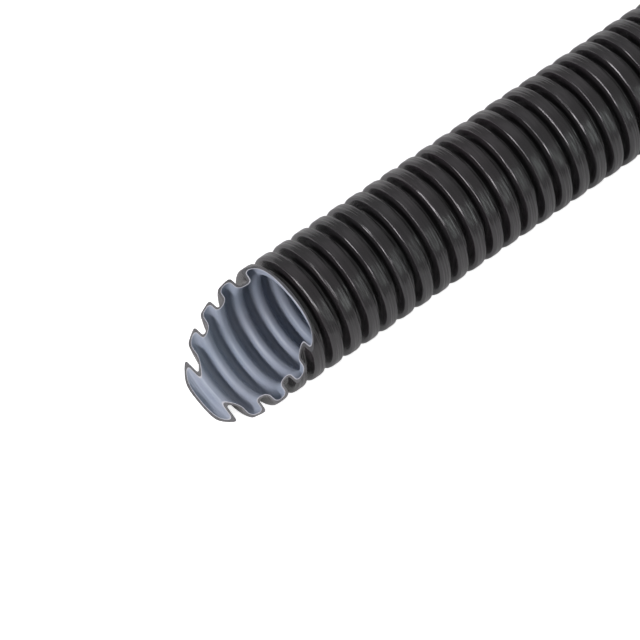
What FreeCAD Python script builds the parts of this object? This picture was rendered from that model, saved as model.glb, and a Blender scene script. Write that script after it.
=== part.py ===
"""One metre of corrugated conduit, cut from the coil.

The conduit is a straight, flexible plastic tube with one thin wall. The wall
runs up and down in even ring waves: flat-topped ridges with rounded edges, and
narrow grooves with rounded floors between them. The inside follows the outside,
so it has the same waves the other way round, and the wall is a little thicker
at the rounded corners inside the ridges. One end is sliced off at a long slant
that is slightly hollow, and the other end is cut square in the middle of a
groove.

Frame: the axis lies along X at the height of the crest radius. The conduit
rests on Z = 0 on its crests, the slanting end is at -X and opens upwards, and
the origin is on the floor below the middle of the length. Millimetres.
"""
import FreeCAD, Part
import math
import os

# Driving dimensions
outer_diameter = 32.0        # over the crests of the ridges
nominal_length = 1000.0      # sold length, filled with whole waves
pitch = 5.625                # from one ridge to the next
crest_land = 2.08            # flat top of a ridge
crest_edge_radius = 0.70     # rounded edge beside the flat top
groove_depth = 3.25          # from the crest down to the groove's floor, outside
groove_radius = 0.76         # rounded edge of the groove's floor, outside
groove_land = 0.30           # flat at the very bottom of the groove
wall_thickness = 0.56        # everywhere but at the corners inside the ridges
hollow_radius = 0.70         # rounded corner inside a ridge
tip_depth = 0.85             # the slanting cut's tip, below the crest on its ridge's front flank
slant_reach = 25.8           # the slanting cut's length along the axis, between tip_depth below both crests
slant_hollow = 3.45          # how far the cut is hollowed along the axis, at the height of the axis
slant_sway = 2.0             # how much deeper the hollow gets towards the top of the cut
tool_clearance = 2.0         # how far the cutting solid reaches past the conduit

# Sizes that follow
crest_radius = outer_diameter / 2
groove_floor_radius = crest_radius - groove_depth
tip_height = crest_radius - tip_depth
ridge_count = int(nominal_length / pitch)


def flank_angle():
    """Return how far each rounded edge turns, in radians.

    The flank is the straight line that touches the crest's rounded edge from
    outside and the groove's rounded edge from the other side.
    """
    across = (pitch - crest_land - groove_land) / 2
    radii = crest_edge_radius + groove_radius
    down = groove_depth - radii
    straight = math.sqrt(across ** 2 + down ** 2 - radii ** 2)
    return math.atan2(radii, straight) + math.atan2(down, across)


def rounded_edge(centre, radius, start, turn):
    """Return the two corners of a rounded edge that is made as one straight bevel.

    The bevel touches the true arc halfway round, and the faces beside it touch
    the arc at its ends. Angles are measured from +Z towards +X.
    """
    x, z = centre
    reach = radius / math.cos(turn / 4)
    angles = (start + turn / 4, start + 3 * turn / 4)
    return [FreeCAD.Vector(x + reach * math.sin(a), 0, z + reach * math.cos(a)) for a in angles]


def half_wave(depth, edge_radius):
    """Return the corners of half a wave at a depth below the outer face.

    It runs from a ridge centred on X = 0 to the middle of the groove at +X,
    with Z measured from the axis. The lands and the flanks are parallel at
    every depth. The ridge's rounded edge touches both at any radius, so its
    centre moves away from the corner as the radius grows.
    """
    turn = flank_angle()
    retreat = (edge_radius - crest_edge_radius + depth) / math.cos(turn / 2)
    crest_centre = (
        crest_land / 2 - retreat * math.sin(turn / 2),
        crest_radius - crest_edge_radius - retreat * math.cos(turn / 2),
    )
    groove_centre = ((pitch - groove_land) / 2, groove_floor_radius + groove_radius)
    crest = rounded_edge(crest_centre, edge_radius, 0, turn)
    groove = rounded_edge(groove_centre, groove_radius + depth, math.pi, turn)
    return crest + groove[::-1] + [FreeCAD.Vector(pitch / 2, 0, groove_floor_radius - depth)]


def tip_past_ridge():
    """Return how far the slanting cut's tip lies past the middle of its ridge, along the axis."""
    edge, foot = half_wave(0, crest_edge_radius)[1:3]
    share = (tip_height - edge.z) / (foot.z - edge.z)
    return edge.x + share * (foot.x - edge.x)


# Places along the axis
overall_length = (ridge_count + 0.5) * pitch + tip_past_ridge()
square_end_x = overall_length / 2
tip_x = -overall_length / 2


def wave_line(depth, edge_radius):
    """Return the corners of the whole wavy outline at a depth, from the square end to past the tip."""
    half = half_wave(depth, edge_radius)
    wave = half[::-1] + [FreeCAD.Vector(-corner.x, 0, corner.z) for corner in half[:-1]]
    line = []
    for index in range(ridge_count + 1):
        shift = FreeCAD.Vector(square_end_x - (index + 0.5) * pitch, 0, crest_radius)
        line += [corner + shift for corner in wave]
    last_x = square_end_x - (ridge_count + 1) * pitch
    return line + [FreeCAD.Vector(last_x, 0, line[0].z)]


def corrugated_tube():
    """Return the whole wall turned round the axis, before the slanting cut."""
    outline = wave_line(0, crest_edge_radius) + wave_line(wall_thickness, hollow_radius)[::-1]
    section = Part.Face(Part.makePolygon(outline + outline[:1]))
    axis_point = FreeCAD.Vector(0, 0, crest_radius)
    return section.revolve(axis_point, FreeCAD.Vector(1, 0, 0), 360)


def slant_place(up):
    """Return where along X the cut's face lies, at a height above the axis."""
    share = up / tip_height
    hollow = (slant_hollow + slant_sway * share) * (1 - share ** 2)
    return tip_x + slant_reach * (1 + share) / 2 + hollow


def slant_slope(up):
    """Return how fast the cut's face moves along X with height."""
    share = up / tip_height
    bend = slant_sway * (1 - 3 * share ** 2) - 2 * slant_hollow * share
    return (slant_reach / 2 + bend) / tip_height


def slant_tool():
    """Return the solid that slices the slanting end off.

    Its cutting face is a cubic curve in side view, which bulges into the
    conduit and passes through the tip and the top of the cut.
    """
    reach = crest_radius + tool_clearance
    third = 2 * reach / 3
    places = (
        slant_place(-reach),
        slant_place(-reach) + slant_slope(-reach) * third,
        slant_place(reach) - slant_slope(reach) * third,
        slant_place(reach),
    )
    heights = (-reach, -reach / 3, reach / 3, reach)
    poles = [FreeCAD.Vector(x, -reach, crest_radius + up) for x, up in zip(places, heights)]
    curve = Part.BezierCurve()
    curve.setPoles(poles)

    # Straight sides close it well past the conduit's end
    behind_x = min(places) - pitch - tool_clearance
    behind = [FreeCAD.Vector(behind_x, -reach, pole.z) for pole in (poles[3], poles[0])]
    sides = Part.makePolygon([poles[3]] + behind + [poles[0]]).Edges
    outline = Part.Wire([curve.toShape()] + sides)
    return Part.Face(outline).extrude(FreeCAD.Vector(0, 2 * reach, 0))


def main():
    """Build the conduit and write its file."""
    os.makedirs("parts", exist_ok=True)
    conduit = corrugated_tube().cut(slant_tool())
    conduit.exportStep("parts/corrugated_wall.step")


main()
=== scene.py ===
"""A metre of black corrugated conduit with a blue-grey slip lining.

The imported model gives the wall's place and size. This script stands a finely
rounded wall in its place, with both layers showing on the cut edges, dresses it
in satin plastic, and sets up the floor, the lamps and the camera.

The conduit's axis lies along X. Its slanting end is at -X and opens upwards,
and its square end is at +X. Lengths are in metres, and angles in degrees where
nothing else is said.
"""
from __future__ import annotations

import logging
import math
from dataclasses import dataclass
from enum import IntEnum

import bmesh
import bpy
from mathutils import Matrix, Vector

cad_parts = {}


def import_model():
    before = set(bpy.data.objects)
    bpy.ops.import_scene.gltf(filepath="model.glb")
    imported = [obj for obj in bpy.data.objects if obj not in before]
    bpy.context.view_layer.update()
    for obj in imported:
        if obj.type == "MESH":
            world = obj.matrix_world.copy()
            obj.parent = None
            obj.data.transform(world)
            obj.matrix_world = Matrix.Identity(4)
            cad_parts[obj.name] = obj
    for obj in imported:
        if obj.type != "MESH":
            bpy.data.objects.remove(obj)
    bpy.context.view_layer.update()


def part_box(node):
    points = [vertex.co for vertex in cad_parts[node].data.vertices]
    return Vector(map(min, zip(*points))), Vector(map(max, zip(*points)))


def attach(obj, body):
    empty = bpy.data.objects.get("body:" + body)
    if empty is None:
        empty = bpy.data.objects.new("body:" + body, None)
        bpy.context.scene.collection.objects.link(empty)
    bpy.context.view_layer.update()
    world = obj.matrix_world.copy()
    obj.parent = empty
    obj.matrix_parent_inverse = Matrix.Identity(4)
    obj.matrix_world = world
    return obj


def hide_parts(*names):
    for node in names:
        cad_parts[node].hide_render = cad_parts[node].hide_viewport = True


LOG = logging.getLogger("conduit")
WALL_NODE = "corrugated_wall"
BODY = "root"
MERGE_DISTANCE = 1e-6
SLICE_DISTANCE = MERGE_DISTANCE / 10

# How far a round edge's middle comes towards the sharp corner, as a bevel counts it
ARC_MIDDLE = math.sqrt(0.5)

# What the patterns of every finish share
CLOUD_LAYERS = 3.0
CLOUD_RANGE = (0.35, 0.65)
PATCHES_TO_A_CLOUD = 3
PATCH_LAYERS = 4.0
PATCH_RANGE = (0.3, 0.7)
RELIEF_LAYERS = 2.0
STREAK_STRETCH = 0.03

# Where the view is centred: along X from the tip, and along Y from the axis
VIEW_CENTRE = (0.0324, -0.00527)


class Finish(IntEnum):
    """The wall's material slots in order, and a mark for the face between its layers."""

    OUTSIDE = 0
    LINING = 1
    CUT_OUTSIDE = 2
    CUT_LINING = 3
    JOINT = 4


@dataclass(frozen=True)
class Detail:
    """How finely a stretch of wall is divided.

    Args:
        around: steps round the axis.
        edge: steps round each rounded edge of a ridge or a groove.
    """

    around: int
    edge: int


@dataclass(frozen=True)
class Wave:
    """One ring wave of the wall, with a flat-topped ridge and a narrow groove.

    Args:
        crest_radius: from the axis to the flat top of a ridge.
        pitch: from one ridge to the next.
        crest_land: flat top of a ridge.
        crest_edge_radius: rounded edge beside the flat top.
        groove_depth: from the crest down to the groove's floor.
        groove_radius: rounded edge of the groove's floor.
        groove_land: flat at the very bottom of the groove.
        wall: thickness everywhere but at the corners inside the ridges.
        hollow_radius: rounded corner inside a ridge.
        lining: thickness of the lining.
        crest_spread: how much further than a true arc a ridge's edge spreads over its flat top.
    """

    crest_radius: float
    pitch: float = 0.005625
    crest_land: float = 0.00208
    crest_edge_radius: float = 0.00070
    groove_depth: float = 0.00325
    groove_radius: float = 0.00076
    groove_land: float = 0.00030
    wall: float = 0.00056
    hollow_radius: float = 0.00100
    lining: float = 0.00014
    crest_spread: float = 1.78

    @property
    def joint_depth(self) -> float:
        """Return how deep the lining starts below the outer face."""
        return self.wall - self.lining

    @property
    def turn(self) -> float:
        """Work out how far each rounded edge turns.

        Returns:
            The angle in radians, the same for ridges and grooves at any depth.
        """
        across = (self.pitch - self.crest_land - self.groove_land) / 2
        radii = self.crest_edge_radius + self.groove_radius
        down = self.groove_depth - radii
        straight = math.sqrt(across ** 2 + down ** 2 - radii ** 2)
        return math.atan2(radii, straight) + math.atan2(down, across)

    def setback(self, radius: float) -> float:
        """Return how far from its sharp corner a rounded edge starts."""
        return radius * math.tan(self.turn / 2)

    def ridge_radius(self, depth: float) -> float:
        """Return the radius of a ridge's rounded edge, outside or at a depth inside the wall."""
        return self.hollow_radius + self.wall - depth if depth else self.crest_edge_radius

    def corners(self, depth: float) -> list[Vector]:
        """Work out the sharp corners of one wave.

        Args:
            depth: distance below the outer face.

        Returns:
            Six points from one groove's middle to the next, in the plane above
            the axis, with the ridge's middle at X = 0.
        """
        # A deeper face's arcs keep their centres, and its corners follow from its radii
        ridge = self.crest_edge_radius - depth
        groove = self.groove_radius + depth
        floor = self.crest_radius - self.groove_depth - depth
        top = self.crest_radius - depth
        half = [
            (self.crest_land / 2 + self.setback(ridge), top),
            ((self.pitch - self.groove_land) / 2 - self.setback(groove), floor),
            (self.pitch / 2, floor),
        ]
        both = [(-x, r) for x, r in half[::-1]] + half
        return [Vector((x, 0, self.crest_radius + r)) for x, r in both]


@dataclass(frozen=True)
class SlantCut:
    """The long, slightly hollow slanting cut, square to the vertical plane.

    Args:
        tip_x: where its tip lies along X.
        crest_radius: height of the axis above the floor.
        tip_depth: how far the tip lies below its ridge's crest.
        reach: its length along X, from the tip to as far below the top crest.
        hollow: how far it is hollowed along X, at the height of the axis.
        sway: how much deeper the hollow gets towards the top of the cut.
    """

    tip_x: float
    crest_radius: float
    tip_depth: float = 0.00085
    reach: float = 0.0258
    hollow: float = 0.00345
    sway: float = 0.0020

    def place(self, height: float) -> float:
        """Work out where the cut lies.

        Args:
            height: distance above the floor.

        Returns:
            The place along X where the cut crosses that height.
        """
        share = (height - self.crest_radius) / (self.crest_radius - self.tip_depth)
        hollow = (self.hollow + self.sway * share) * (1 - share ** 2)
        return self.tip_x + self.reach * (1 + share) / 2 + hollow


@dataclass
class WallStretch:
    """A closed stretch of the wall, from one groove's middle to another's.

    Args:
        name: the piece's name.
        wave: the wall's outline.
        square_end_x: where the square end lies along X.
        first: waves between the square end and the stretch.
        count: how many waves the stretch has.
        detail: how finely its faces are divided.
        cut: the slanting cut, where the stretch has it.
    """

    name: str
    wave: Wave
    square_end_x: float
    first: int
    count: int
    detail: Detail
    cut: SlantCut | None = None

    def build(self) -> bpy.types.Object:
        """Build the stretch as one closed mesh.

        The face between the layers marks where they meet on the ends, and is
        deleted once both ends are closed.

        Returns:
            The new object, at the origin.
        """
        mesh = bmesh.new()
        self.add_face(mesh, 0, Finish.OUTSIDE)
        self.add_face(mesh, self.wave.joint_depth, Finish.JOINT)
        self.add_face(mesh, self.wave.wall, Finish.LINING)
        start_x = self.square_end_x - self.first * self.wave.pitch
        self.close_square(mesh, start_x)
        if self.cut:
            self.slice_slant(mesh)
        else:
            self.close_square(mesh, start_x - self.count * self.wave.pitch)
        joint = [face for face in mesh.faces if face.material_index == Finish.JOINT]
        bmesh.ops.delete(mesh, geom=joint, context="FACES")
        bmesh.ops.recalc_face_normals(mesh, faces=mesh.faces)
        return self.finished(mesh)

    def add_face(self, mesh: bmesh.types.BMesh, depth: float, finish: Finish) -> None:
        """Add one of the wall's wavy faces to the mesh.

        Args:
            mesh: the mesh that the face goes into.
            depth: distance below the outer face.
            finish: the face's material slot or mark.
        """
        piece = bmesh.new()
        self.draw_wave(piece, depth)
        self.repeat_wave(piece)
        bmesh.ops.spin(
            piece,
            geom=piece.verts[:] + piece.edges[:],
            cent=(0, 0, self.wave.crest_radius),
            axis=(1, 0, 0),
            dvec=(0, 0, 0),
            angle=2 * math.pi,
            steps=self.detail.around,
            use_merge=True,
            use_duplicate=False,
        )
        for face in piece.faces:
            face.material_index = finish
        data = bpy.data.meshes.new(self.name)
        piece.to_mesh(data)
        piece.free()
        mesh.from_mesh(data)
        bpy.data.meshes.remove(data)

    def draw_wave(self, piece: bmesh.types.BMesh, depth: float) -> None:
        """Draw the stretch's first wave as a line with rounded corners.

        Args:
            piece: an empty mesh that the line goes into.
            depth: distance below the outer face.
        """
        middle = Vector((self.square_end_x - (self.first + 0.5) * self.wave.pitch, 0, 0))
        verts = [piece.verts.new(corner + middle) for corner in self.wave.corners(depth)]
        for pair in zip(verts, verts[1:]):
            piece.edges.new(pair)
        grooves, ridges = [verts[1], verts[4]], [verts[2], verts[3]]
        spread = 1.0 if depth else self.wave.crest_spread
        rounding = (
            (ridges, self.wave.ridge_radius(depth), spread),
            (grooves, self.wave.groove_radius + depth, 1.0),
        )
        for corners, radius, reach in rounding:
            # A wider rounding gets squarer, so its middle stays where the arc's is
            middle_share = 1 - (1 - ARC_MIDDLE) / reach
            bmesh.ops.bevel(
                piece,
                geom=corners,
                offset=self.wave.setback(radius) * reach,
                offset_type="OFFSET",
                affect="VERTICES",
                segments=self.detail.edge,
                profile=middle_share ** 2,
                material=-1,
            )

    def repeat_wave(self, piece: bmesh.types.BMesh) -> None:
        """Repeat the first wave's line along the stretch, and join the lines.

        Args:
            piece: the mesh with the first wave's line.
        """
        line = piece.verts[:] + piece.edges[:]
        for index in range(1, self.count):
            copy = bmesh.ops.duplicate(piece, geom=line)["geom"]
            verts = [item for item in copy if isinstance(item, bmesh.types.BMVert)]
            bmesh.ops.translate(piece, verts=verts, vec=(-index * self.wave.pitch, 0, 0))
        bmesh.ops.remove_doubles(piece, verts=piece.verts, dist=MERGE_DISTANCE)

    def close_square(self, mesh: bmesh.types.BMesh, place: float) -> None:
        """Close the wall where it ends square.

        Args:
            mesh: the mesh with the wall's faces.
            place: where the end lies along X.
        """
        rims = [
            edge
            for edge in mesh.edges
            if edge.is_boundary and all(abs(v.co.x - place) < MERGE_DISTANCE for v in edge.verts)
        ]
        self.close(mesh, rims)

    def slice_slant(self, mesh: bmesh.types.BMesh) -> None:
        """Slice the slanting end off and close it.

        Every point slides along X until the cut is a flat face at X = 0, and
        slides back once that face is closed.

        Args:
            mesh: the mesh with the wall's faces.
        """
        for vert in mesh.verts:
            vert.co.x -= self.cut.place(vert.co.z)
        done = bmesh.ops.bisect_plane(
            mesh,
            geom=mesh.verts[:] + mesh.edges[:] + mesh.faces[:],
            dist=SLICE_DISTANCE,
            plane_co=(0, 0, 0),
            plane_no=(-1, 0, 0),
            clear_outer=True,
        )
        self.close(mesh, [e for e in done["geom_cut"] if isinstance(e, bmesh.types.BMEdge)])
        for vert in mesh.verts:
            vert.co.x += self.cut.place(vert.co.z)

    def close(self, mesh: bmesh.types.BMesh, rims: list[bmesh.types.BMEdge]) -> None:
        """Close an open end with both layers showing.

        Args:
            mesh: the mesh with the wall's faces.
            rims: the end's open edges, all in one flat face.
        """
        by_face = {finish: [] for finish in (Finish.OUTSIDE, Finish.JOINT, Finish.LINING)}
        for edge in rims:
            by_face[edge.link_faces[0].material_index].append(edge)
        layers = (
            (Finish.OUTSIDE, Finish.JOINT, Finish.CUT_OUTSIDE),
            (Finish.JOINT, Finish.LINING, Finish.CUT_LINING),
        )
        for near, far, finish in layers:
            filled = bmesh.ops.triangle_fill(
                mesh,
                edges=by_face[near] + by_face[far],
                use_beauty=True,
                use_dissolve=False,
                normal=(1, 0, 0),
            )
            for item in filled["geom"]:
                if isinstance(item, bmesh.types.BMFace):
                    item.material_index = finish

    def finished(self, mesh: bmesh.types.BMesh) -> bpy.types.Object:
        """Turn a mesh into a smooth object with sharp cut edges.

        Args:
            mesh: the closed wall.

        Returns:
            The new object, at the origin.
        """
        cuts = (Finish.CUT_OUTSIDE, Finish.CUT_LINING)
        for face in mesh.faces:
            face.smooth = face.material_index not in cuts
        for edge in mesh.edges:
            edge.smooth = len({face.material_index in cuts for face in edge.link_faces}) == 1
        data = bpy.data.meshes.new(self.name)
        mesh.to_mesh(data)
        mesh.free()
        piece = bpy.data.objects.new(self.name, data)
        bpy.context.scene.collection.objects.link(piece)
        return piece


@dataclass(frozen=True)
class PlasticFinish:
    """A moulded or cut plastic face.

    Args:
        name: the material's name.
        colour: main colour, as linear red, green and blue.
        cloud_colour: colour that the main one drifts to in broad clouds.
        cloud_size: clouds to a metre.
        roughness: lowest and highest roughness.
        grain_size: grains of the fine relief to a metre.
        grain_depth: height of the fine relief in metres.
        specular: the surface's specular level.
        streak_size: streaks to a metre along the conduit.
        streak_depth: height in metres of the fine streaks that run round the conduit.
    """

    name: str
    colour: tuple[float, float, float]
    cloud_colour: tuple[float, float, float]
    cloud_size: float
    roughness: tuple[float, float]
    grain_size: float
    grain_depth: float
    specular: float = 0.5
    streak_size: float = 1800.0
    streak_depth: float = 0.0

    def material(self) -> bpy.types.Material:
        """Make the finish's material.

        Returns:
            The new material.
        """
        material = bpy.data.materials.new(self.name)
        material.use_nodes = True
        tree = material.node_tree
        shader = tree.nodes["Principled BSDF"]
        shader.inputs["Specular IOR Level"].default_value = self.specular
        place = tree.nodes.new("ShaderNodeTexCoord").outputs["Object"]
        clouds = self.noise(tree, place, self.cloud_size, CLOUD_LAYERS)
        self.colour_drift(tree, clouds, shader)
        self.gloss_drift(tree, place, shader)
        self.relief(tree, place, shader)
        return material

    @staticmethod
    def noise(
        tree: bpy.types.NodeTree, place: bpy.types.NodeSocket, size: float, layers: float
    ) -> bpy.types.NodeSocket:
        """Add a noise pattern.

        Args:
            tree: the material's nodes.
            place: the point that the pattern is read at.
            size: the pattern's scale, in grains to a metre.
            layers: how many finer layers the pattern has.

        Returns:
            The pattern's value, about 0.3 to 0.7.
        """
        node = tree.nodes.new("ShaderNodeTexNoise")
        node.inputs["Scale"].default_value = size
        node.inputs["Detail"].default_value = layers
        tree.links.new(place, node.inputs["Vector"])
        return node.outputs["Fac"]

    def colour_drift(
        self, tree: bpy.types.NodeTree, clouds: bpy.types.NodeSocket, shader: bpy.types.Node
    ) -> None:
        """Let the colour drift slightly with the clouds.

        Args:
            tree: the material's nodes.
            clouds: the pattern's value.
            shader: the node that takes the colour.
        """
        ramp = tree.nodes.new("ShaderNodeValToRGB")
        colours = (self.colour, self.cloud_colour)
        for stop, position, colour in zip(ramp.color_ramp.elements, CLOUD_RANGE, colours):
            stop.position = position
            stop.color = (*colour, 1)
        tree.links.new(clouds, ramp.inputs["Fac"])
        tree.links.new(ramp.outputs["Color"], shader.inputs["Base Color"])

    def gloss_drift(
        self, tree: bpy.types.NodeTree, place: bpy.types.NodeSocket, shader: bpy.types.Node
    ) -> None:
        """Let the roughness drift in patches, as handled plastic does.

        Args:
            tree: the material's nodes.
            place: the point that the pattern is read at.
            shader: the node that takes the roughness.
        """
        patches = self.noise(tree, place, self.cloud_size * PATCHES_TO_A_CLOUD, PATCH_LAYERS)
        spread = tree.nodes.new("ShaderNodeMapRange")
        for side, pattern, roughness in zip(("Min", "Max"), PATCH_RANGE, self.roughness):
            spread.inputs[f"From {side}"].default_value = pattern
            spread.inputs[f"To {side}"].default_value = roughness
        tree.links.new(patches, spread.inputs["Value"])
        tree.links.new(spread.outputs["Result"], shader.inputs["Roughness"])

    def relief(
        self, tree: bpy.types.NodeTree, place: bpy.types.NodeSocket, shader: bpy.types.Node
    ) -> None:
        """Give the surface its fine grain, and its streaks where it has them.

        Args:
            tree: the material's nodes.
            place: the point that the patterns are read at.
            shader: the node that takes the normal.
        """
        grain = self.noise(tree, place, self.grain_size, RELIEF_LAYERS)
        normal = self.bump(tree, grain, self.grain_depth).outputs["Normal"]
        if self.streak_depth:
            drawn = tree.nodes.new("ShaderNodeMapping")
            drawn.inputs["Scale"].default_value = (1.0, STREAK_STRETCH, STREAK_STRETCH)
            tree.links.new(place, drawn.inputs["Vector"])
            streaks = self.noise(tree, drawn.outputs["Vector"], self.streak_size, RELIEF_LAYERS)
            streak_bump = self.bump(tree, streaks, self.streak_depth)
            tree.links.new(normal, streak_bump.inputs["Normal"])
            normal = streak_bump.outputs["Normal"]
        tree.links.new(normal, shader.inputs["Normal"])

    @staticmethod
    def bump(
        tree: bpy.types.NodeTree, height: bpy.types.NodeSocket, depth: float
    ) -> bpy.types.Node:
        """Add a bump of a pattern.

        Args:
            tree: the material's nodes.
            height: the pattern's value.
            depth: the relief's height in metres.

        Returns:
            The bump node.
        """
        node = tree.nodes.new("ShaderNodeBump")
        node.inputs["Strength"].default_value = 1.0
        node.inputs["Distance"].default_value = depth
        tree.links.new(height, node.inputs["Height"])
        return node


@dataclass
class Conduit:
    """The whole conduit: its wall in stretches, and their finishes.

    Args:
        low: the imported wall's lowest corner.
        high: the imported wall's highest corner.
        cut_waves: waves in the stretch with the slanting cut.
        plain_stretches: how many stretches the rest of the wall is in.
        cut_detail: how finely the stretch with the slanting cut is divided.
        plain_detail: how finely the others are divided.
        outside: finish of the outer face.
        lining: finish of the inner face.
        cut_outside: finish of the outer layer where it is cut.
        cut_lining: finish of the lining where it is cut.
    """

    low: Vector
    high: Vector
    cut_waves: int = 26
    plain_stretches: int = 3
    cut_detail: Detail = Detail(around=72, edge=5)
    plain_detail: Detail = Detail(around=48, edge=3)
    outside: PlasticFinish = PlasticFinish(
        name="satin_black",
        colour=(0.0190, 0.0190, 0.0200),
        cloud_colour=(0.0245, 0.0208, 0.0232),
        cloud_size=28.0,
        roughness=(0.18, 0.24),
        grain_size=2600.0,
        grain_depth=0.000006,
        specular=0.80,
        streak_depth=0.000300,
    )
    lining: PlasticFinish = PlasticFinish(
        name="slip_lining",
        colour=(0.300, 0.345, 0.420),
        cloud_colour=(0.335, 0.370, 0.440),
        cloud_size=90.0,
        roughness=(0.36, 0.48),
        grain_size=1800.0,
        grain_depth=0.000012,
        specular=0.45,
        streak_depth=0.000150,
    )
    cut_outside: PlasticFinish = PlasticFinish(
        name="cut_black",
        colour=(0.038, 0.039, 0.042),
        cloud_colour=(0.064, 0.065, 0.070),
        cloud_size=420.0,
        roughness=(0.36, 0.50),
        grain_size=5200.0,
        grain_depth=0.000012,
    )
    cut_lining: PlasticFinish = PlasticFinish(
        name="cut_lining",
        colour=(0.36, 0.37, 0.41),
        cloud_colour=(0.46, 0.47, 0.51),
        cloud_size=420.0,
        roughness=(0.42, 0.58),
        grain_size=5200.0,
        grain_depth=0.000014,
    )

    def stretches(self) -> list[WallStretch]:
        """Divide the wall into stretches, from the square end to the slanting one.

        Returns:
            The plain stretches, and last the one with the slanting cut.
        """
        wave = Wave(crest_radius=(self.high.z - self.low.z) / 2)
        plain = math.ceil((self.high.x - self.low.x) / wave.pitch) - self.cut_waves
        parts = self.plain_stretches
        marks = [round(plain * part / parts) for part in range(parts + 1)]
        stretches = [
            WallStretch(
                name=f"conduit_run_{index + 1}",
                wave=wave,
                square_end_x=self.high.x,
                first=first,
                count=last - first,
                detail=self.plain_detail,
            )
            for index, (first, last) in enumerate(zip(marks, marks[1:]))
        ]
        slant_end = WallStretch(
            name="conduit_slant_end",
            wave=wave,
            square_end_x=self.high.x,
            first=plain,
            count=self.cut_waves,
            detail=self.cut_detail,
            cut=SlantCut(tip_x=self.low.x, crest_radius=wave.crest_radius),
        )
        return [*stretches, slant_end]

    def build(self) -> None:
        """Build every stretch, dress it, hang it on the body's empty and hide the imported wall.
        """
        finishes = (self.outside, self.lining, self.cut_outside, self.cut_lining)
        materials = [finish.material() for finish in finishes]
        for stretch in self.stretches():
            piece = stretch.build()
            for material in materials:
                piece.data.materials.append(material)
            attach(piece, BODY)
            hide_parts(WALL_NODE)
            LOG.info("%s: %d waves, %d faces", piece.name, stretch.count, len(piece.data.polygons))


@dataclass(frozen=True)
class Softbox:
    """A rectangular soft lamp, turned to a point of the scene.

    Args:
        name: the lamp's name.
        direction: from the point that it is turned to, towards the lamp.
        distance: how far away it is.
        size: its width and height.
        power: its power in watts.
        colour: its colour.
    """

    name: str
    direction: tuple[float, float, float]
    distance: float
    size: tuple[float, float]
    power: float
    colour: tuple[float, float, float]

    def place(self, aim: Vector) -> None:
        """Add the lamp.

        Args:
            aim: the point that it is turned to.
        """
        lamp = bpy.data.lights.new(self.name, "AREA")
        lamp.shape = "RECTANGLE"
        lamp.size, lamp.size_y = self.size
        lamp.energy = self.power
        lamp.color = self.colour
        rig = bpy.data.objects.new(self.name, lamp)
        towards = Vector(self.direction).normalized()
        rig.location = aim + towards * self.distance
        rig.rotation_euler = towards.to_track_quat("Z", "Y").to_euler()
        bpy.context.scene.collection.objects.link(rig)
        LOG.info("lamp %s", self.name)


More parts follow.
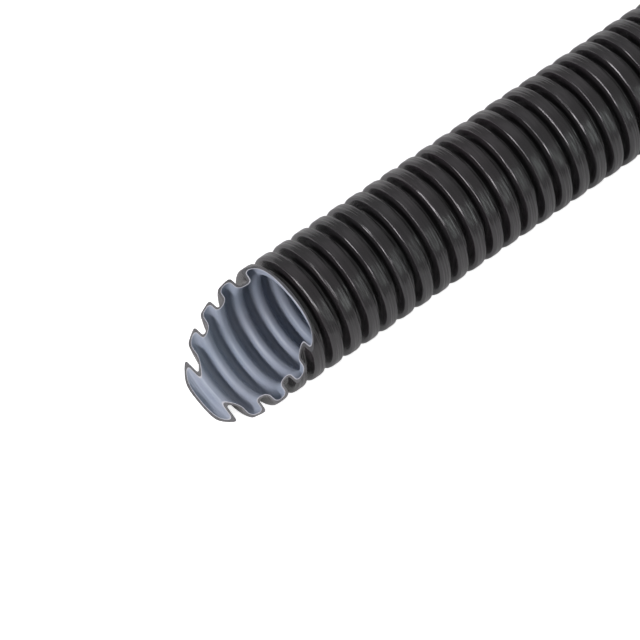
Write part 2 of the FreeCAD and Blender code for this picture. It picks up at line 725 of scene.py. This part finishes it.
@dataclass
class Studio:
    """The plain white floor, the soft lamps and the surroundings.

    Args:
        aim: the point that the lamps are turned to.
        floor_size: length of the floor's sides.
        floor_colour: the floor's colour, as linear red, green and blue.
        floor_lift: light that the floor gives off where it is seen.
        surround: strength of the even light on the conduit, against one for what is seen.
        mirrored_share: how much of a seen surface's lift a mirrored one gets.
        lamps: the soft lamps.
    """

    aim: Vector
    floor_size: float = 12.0
    floor_colour: tuple[float, float, float] = (0.92, 0.92, 0.92)
    floor_lift: float = 0.80
    surround: float = 0.24
    mirrored_share: float = 0.08
    lamps: tuple[Softbox, ...] = (
        Softbox("right_softbox", (0.33, -0.72, 0.61), 1.6, (0.40, 1.2), 2.8, (0.92, 1.0, 0.97)),
        Softbox("front_softbox", (-0.87, 0.04, 0.49), 1.5, (1.8, 0.35), 21.5, (1.0, 0.97, 1.0)),
        Softbox("top_softbox", (0.25, 0.55, 0.80), 1.6, (1.2, 1.2), 1.1, (1.0, 0.94, 1.0)),
    )

    def build(self) -> None:
        """Build the floor, the surroundings and the lamps."""
        self.lay_floor()
        self.surround_scene()
        for lamp in self.lamps:
            lamp.place(self.aim)
        bpy.context.scene.view_settings.view_transform = "Standard"

    def lay_floor(self) -> None:
        """Lay the floor at the height that the conduit rests on."""
        mesh = bmesh.new()
        bmesh.ops.create_grid(mesh, x_segments=1, y_segments=1, size=self.floor_size / 2)
        data = bpy.data.meshes.new("floor")
        mesh.to_mesh(data)
        mesh.free()
        data.materials.append(self.floor_material())
        floor = bpy.data.objects.new("floor", data)
        bpy.context.scene.collection.objects.link(floor)
        LOG.info("floor laid")

    def floor_material(self) -> bpy.types.Material:
        """Make the floor's white, lifted where it is seen or mirrored.

        Returns:
            The new material.
        """
        material = bpy.data.materials.new("white_floor")
        material.use_nodes = True
        tree = material.node_tree
        tree.nodes.clear()
        paper = tree.nodes.new("ShaderNodeBsdfDiffuse")
        paper.inputs["Color"].default_value = (*self.floor_colour, 1)
        lift = tree.nodes.new("ShaderNodeEmission")
        both = tree.nodes.new("ShaderNodeAddShader")
        output = tree.nodes.new("ShaderNodeOutputMaterial")
        strength = tree.nodes.new("ShaderNodeMath")
        strength.operation = "MULTIPLY"
        strength.inputs[1].default_value = self.floor_lift
        tree.links.new(self.seen_rays(tree), strength.inputs[0])
        tree.links.new(strength.outputs["Value"], lift.inputs["Strength"])
        tree.links.new(paper.outputs["BSDF"], both.inputs[0])
        tree.links.new(lift.outputs["Emission"], both.inputs[1])
        tree.links.new(both.outputs["Shader"], output.inputs["Surface"])
        return material

    def seen_rays(self, tree: bpy.types.NodeTree) -> bpy.types.NodeSocket:
        """Add what tells a seen or mirrored surface from a lit one.

        Args:
            tree: the nodes of the floor's material or of the surroundings.

        Returns:
            One for camera and transmission rays, the mirrored share for glossy
            rays, and zero for others.
        """
        rays = tree.nodes.new("ShaderNodeLightPath")
        mirrored = tree.nodes.new("ShaderNodeMath")
        mirrored.operation = "MULTIPLY"
        mirrored.inputs[1].default_value = self.mirrored_share
        tree.links.new(rays.outputs["Is Glossy Ray"], mirrored.inputs[0])
        either = rays.outputs["Is Camera Ray"]
        for other in (rays.outputs["Is Transmission Ray"], mirrored.outputs["Value"]):
            most = tree.nodes.new("ShaderNodeMath")
            most.operation = "MAXIMUM"
            tree.links.new(either, most.inputs[0])
            tree.links.new(other, most.inputs[1])
            either = most.outputs["Value"]
        return either

    def surround_scene(self) -> None:
        """Surround the scene with an even grey light that is seen as white."""
        world = bpy.data.worlds.new("surround")
        bpy.context.scene.world = world
        world.use_nodes = True
        tree = world.node_tree
        strength = tree.nodes.new("ShaderNodeMapRange")
        strength.inputs["To Min"].default_value = self.surround
        strength.inputs["To Max"].default_value = 1.0
        tree.links.new(self.seen_rays(tree), strength.inputs["Value"])
        background = tree.nodes["Background"]
        background.inputs["Color"].default_value = (1, 1, 1, 1)
        tree.links.new(strength.outputs["Result"], background.inputs["Strength"])


@dataclass
class Viewpoint:
    """The camera, where the photograph was taken from.

    Args:
        target: the point at the height of the conduit's axis that the view is centred on.
        azimuth: how far the view is turned from +Y, seen from above.
        elevation: how high the camera stands above the horizon.
        roll: how far the camera is turned about its own view.
        distance: from the target to the camera.
        lens: focal length in millimetres.
        sensor: the sensor's width in millimetres.
    """

    target: Vector
    azimuth: float = -44.230
    elevation: float = 62.024
    roll: float = 6.505
    distance: float = 0.82137
    lens: float = 189.635
    sensor: float = 36.0

    def place(self) -> None:
        """Add the camera and look through it."""
        camera = bpy.data.cameras.new("photo_camera")
        camera.lens = self.lens
        camera.sensor_width = self.sensor
        turn = (
            Matrix.Rotation(math.radians(self.azimuth), 4, "Z")
            @ Matrix.Rotation(math.radians(90 - self.elevation), 4, "X")
            @ Matrix.Rotation(math.radians(self.roll), 4, "Z")
        )
        back = turn @ Vector((0, 0, self.distance))
        rig = bpy.data.objects.new("photo_camera", camera)
        rig.matrix_world = Matrix.Translation(self.target + back) @ turn
        bpy.context.scene.collection.objects.link(rig)
        bpy.context.scene.camera = rig
        LOG.info("camera placed")


def main() -> None:
    """Build the conduit, the studio and the viewpoint in order."""
    logging.basicConfig(level=logging.INFO)
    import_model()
    low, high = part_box(WALL_NODE)
    Conduit(low, high).build()
    along, across = VIEW_CENTRE
    centre = Vector((low.x + along, across, (low.z + high.z) / 2))
    Studio(aim=centre).build()
    Viewpoint(target=centre).place()


if __name__ == "__main__":
    main()
